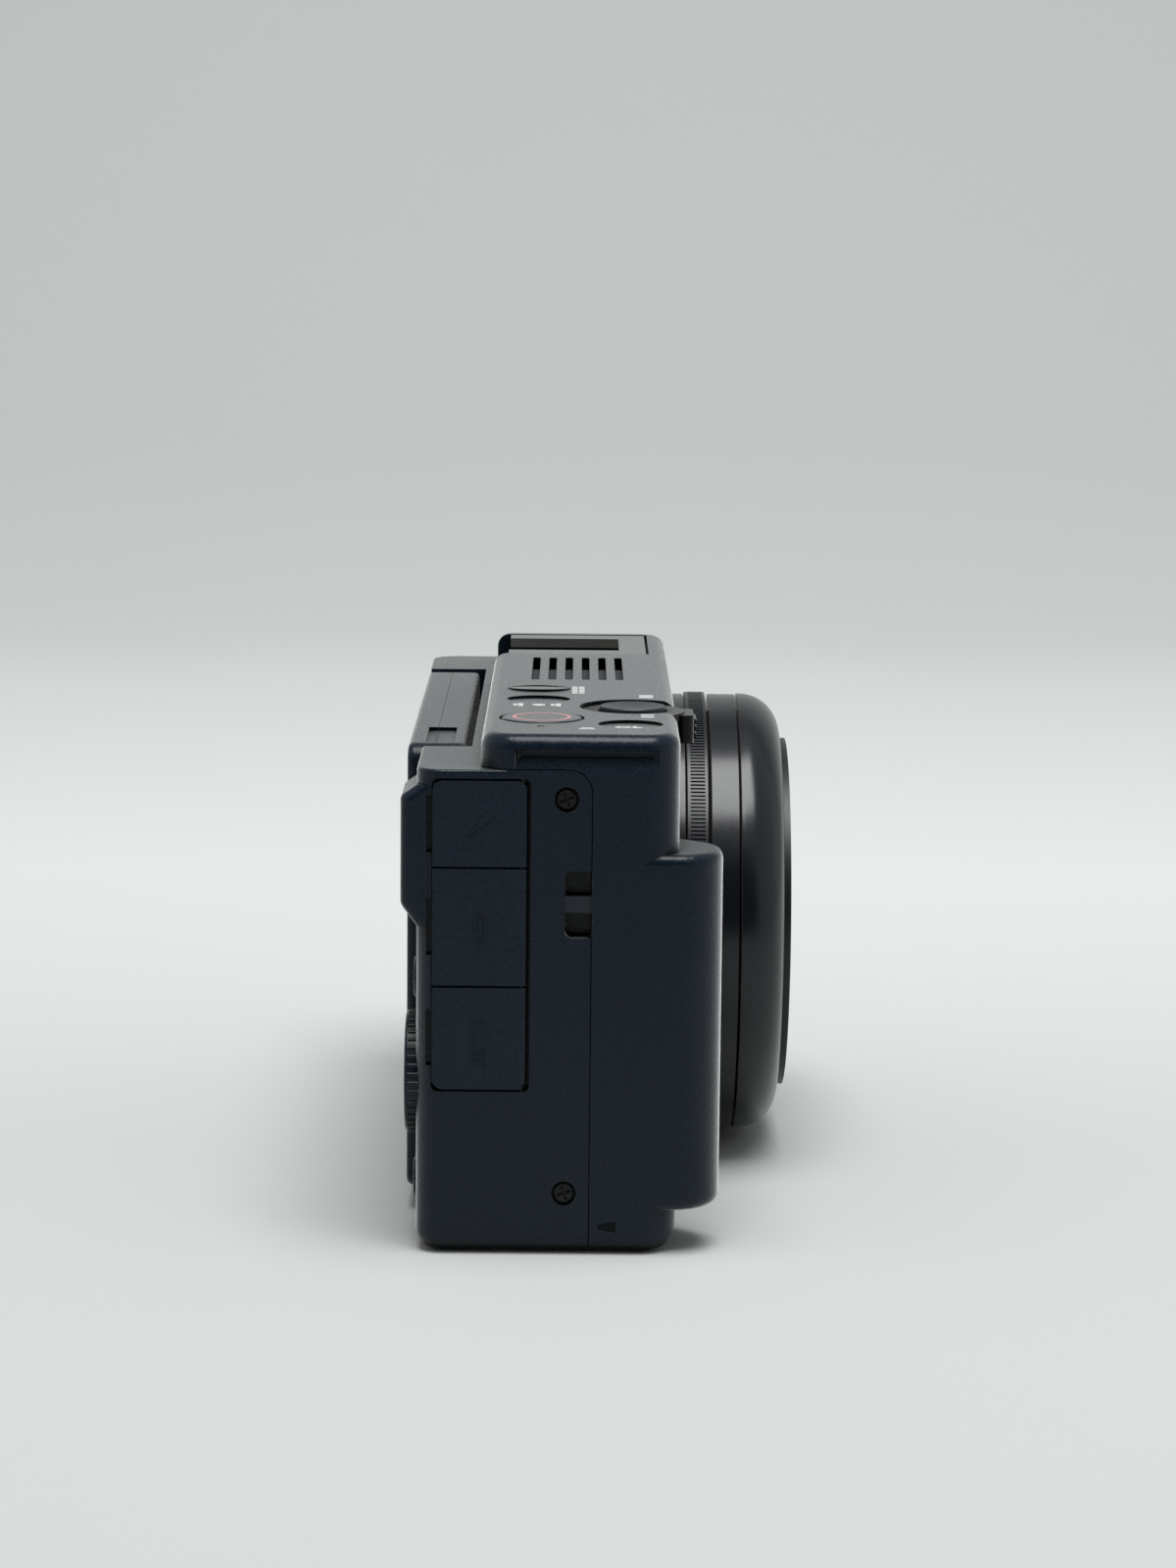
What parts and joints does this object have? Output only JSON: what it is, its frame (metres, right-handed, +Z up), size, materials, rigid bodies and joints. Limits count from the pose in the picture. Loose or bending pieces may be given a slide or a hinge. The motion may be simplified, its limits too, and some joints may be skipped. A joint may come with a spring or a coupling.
{
  "type": "compact video camera",
  "caption": "Compact video camera with a finger grip, ribbed lens ring, fold-out rear display, slotted microphone grille, accessory shoe, zoom lever and hinged port doors.",
  "frame": {"origin": "middle of the footprint at the height of the flat base", "axes": "+Z up, -Y the way the lens looks, -X towards the hand grip and the port doors"},
  "size_m": [0.1054, 0.0464, 0.0603],
  "materials": {
    "casing": "fine moulded texture",
    "door": "fine moulded texture",
    "cover_rubber": "soft matt",
    "display_shell": "fine moulded texture",
    "display_glass": "polished",
    "screen": "gloss",
    "steel": "satin",
    "screw": "blackened",
    "socket_metal": "bright",
    "circuit_board": "solder mask",
    "lens_ring": "satin black anodised",
    "control_ring": "ribbed, satin black",
    "filter_ring": "matt black",
    "lens_inner": "matt black",
    "lens_glass": "coated",
    "blade": "blackened",
    "sensor": "polished",
    "chassis": "pressed",
    "battery": "matt",
    "holder": "matt",
    "card": "matt",
    "latch": "matt",
    "brass_insert": "turned",
    "shoe": "satin nickel",
    "contacts": "gold plated",
    "foam": "open foam",
    "capsule": "drawn can",
    "lamp": "diffusing",
    "shutter": "satin",
    "lever": "satin",
    "deck_button": "satin",
    "record": "satin with a red ring",
    "wheel": "satin",
    "rear_button": "satin"
  },
  "bodies": {
    "camera_body": {"front_casing": "casing", "rear_casing": "casing", "door_pins": "steel", "port_sockets": "socket_metal", "small_boards": "circuit_board", "side_screws": "screw", "strap_lugs": "steel", "display_hinge_pin": "steel", "lens_base_ring": "lens_ring", "barrel_ring": "lens_ring", "lens_front_ring": "lens_ring", "filter_ring": "filter_ring", "lens_barrel": "lens_inner", "lens_trim_ring": "lens_inner", "front_glass": "lens_glass", "optic_tube": "lens_inner", "inner_glasses": "lens_glass", "iris_blades": "blade", "image_sensor": "sensor", "sensor_board": "circuit_board", "chassis": "chassis", "main_board": "circuit_board", "battery": "battery", "battery_holder": "holder", "memory_card": "card", "card_slot": "holder", "tripod_socket": "brass_insert", "base_screws": "screw", "shoe_rails": "shoe", "shoe_contact_block": "contacts", "microphone_foam": "foam", "microphones": "capsule", "top_board": "circuit_board", "indicator_lamps": "lamp", "speaker": "capsule", "cord_cover": "cover_rubber"},
    "display": {"display_back_shell": "display_shell", "display_bezel": "display_shell", "display_glass": "display_glass", "screen_module": "screen", "display_arm": "display_shell", "display_tilt_shaft": "steel"},
    "microphone_door_body": {"microphone_door": "door"},
    "data_port_door_body": {"data_port_door": "door"},
    "video_port_door_body": {"video_port_door": "door"},
    "lens_control_ring_body": {"control_ring": "control_ring"},
    "control_wheel_body": {"control_wheel": "wheel"},
    "centre_button_body": {"centre_button": "rear_button"},
    "menu_button_body": {"menu_button": "rear_button"},
    "function_button_body": {"function_button": "rear_button"},
    "playback_button_body": {"playback_button": "rear_button"},
    "delete_button_body": {"delete_button": "rear_button"},
    "shutter_button_body": {"shutter_button": "shutter"},
    "zoom_lever_body": {"zoom_lever": "lever"},
    "power_button_body": {"power_button": "deck_button"},
    "record_button_body": {"record_button": "record"},
    "defocus_button_body": {"defocus_button": "deck_button"},
    "mode_button_body": {"mode_button": "deck_button"},
    "battery_door_body": {"battery_door": "door"},
    "battery_latch_body": {"battery_latch": "latch"}
  },
  "joints": [
    {"name": "display_swing", "type": "hinge", "parent": "camera_body", "child": "display", "pos_m": [0.049, 0.0196, 0.03], "axis": [0, 0, -1], "range_deg": [0, 176]},
    {"name": "control_ring_turn", "type": "hinge", "parent": "camera_body", "child": "lens_control_ring_body", "pos_m": [0.0095, -0.0115, 0.0287], "axis": [0, 1, 0], "continuous": true},
    {"name": "control_wheel_turn", "type": "hinge", "parent": "camera_body", "child": "control_wheel_body", "pos_m": [-0.0436, 0.0215, 0.0194], "axis": [0, 1, 0], "continuous": true},
    {"name": "zoom_lever_turn", "type": "hinge", "parent": "camera_body", "child": "zoom_lever_body", "pos_m": [-0.0279, -0.0032, 0.0592], "axis": [0, 0, 1], "range_deg": [-12, 12], "stiffness_Nm_per_rad": 0.02},
    {"name": "microphone_door_swing", "type": "hinge", "parent": "camera_body", "child": "microphone_door_body", "pos_m": [-0.05205, 0.0094, 0.0498], "axis": [0, 0, 1], "range_deg": [0, 90]},
    {"name": "data_port_door_swing", "type": "hinge", "parent": "camera_body", "child": "data_port_door_body", "pos_m": [-0.05205, 0.0094, 0.038], "axis": [0, 0, 1], "range_deg": [0, 90]},
    {"name": "video_port_door_swing", "type": "hinge", "parent": "camera_body", "child": "video_port_door_body", "pos_m": [-0.05205, 0.0094, 0.0252], "axis": [0, 0, 1], "range_deg": [0, 90]},
    {"name": "battery_door_swing", "type": "hinge", "parent": "camera_body", "child": "battery_door_body", "pos_m": [-0.01865, 0.002, 0.00075], "axis": [0, -1, 0], "range_deg": [0, 80]},
    {"name": "battery_latch_slide", "type": "slide", "parent": "battery_door_body", "child": "battery_latch_body", "axis": [1, 0, 0], "range_m": [0, 0.0018]},
    {"name": "shutter_press", "type": "slide", "parent": "camera_body", "child": "shutter_button_body", "axis": [0, 0, -1], "range_m": [0, 0.0004], "stiffness_N_per_m": 500, "springref_m": -0.0005},
    {"name": "power_press", "type": "slide", "parent": "camera_body", "child": "power_button_body", "axis": [0, 0, -1], "range_m": [0, 0.0004], "stiffness_N_per_m": 600, "springref_m": -0.0005},
    {"name": "record_press", "type": "slide", "parent": "camera_body", "child": "record_button_body", "axis": [0, 0, -1], "range_m": [0, 0.0004], "stiffness_N_per_m": 600, "springref_m": -0.0005},
    {"name": "defocus_press", "type": "slide", "parent": "camera_body", "child": "defocus_button_body", "axis": [0, 0, -1], "range_m": [0, 0.0004], "stiffness_N_per_m": 600, "springref_m": -0.0005},
    {"name": "mode_press", "type": "slide", "parent": "camera_body", "child": "mode_button_body", "axis": [0, 0, -1], "range_m": [0, 0.0004], "stiffness_N_per_m": 600, "springref_m": -0.0005},
    {"name": "centre_press", "type": "slide", "parent": "camera_body", "child": "centre_button_body", "axis": [0, -1, 0], "range_m": [0, 0.0004], "stiffness_N_per_m": 600, "springref_m": -0.0005},
    {"name": "menu_press", "type": "slide", "parent": "camera_body", "child": "menu_button_body", "axis": [0, -1, 0], "range_m": [0, 0.0004], "stiffness_N_per_m": 600, "springref_m": -0.0005},
    {"name": "function_press", "type": "slide", "parent": "camera_body", "child": "function_button_body", "axis": [0, -1, 0], "range_m": [0, 0.0004], "stiffness_N_per_m": 600, "springref_m": -0.0005},
    {"name": "playback_press", "type": "slide", "parent": "camera_body", "child": "playback_button_body", "axis": [0, -1, 0], "range_m": [0, 0.0004], "stiffness_N_per_m": 600, "springref_m": -0.0005},
    {"name": "delete_press", "type": "slide", "parent": "camera_body", "child": "delete_button_body", "axis": [0, -1, 0], "range_m": [0, 0.0004], "stiffness_N_per_m": 600, "springref_m": -0.0005}
  ]
}
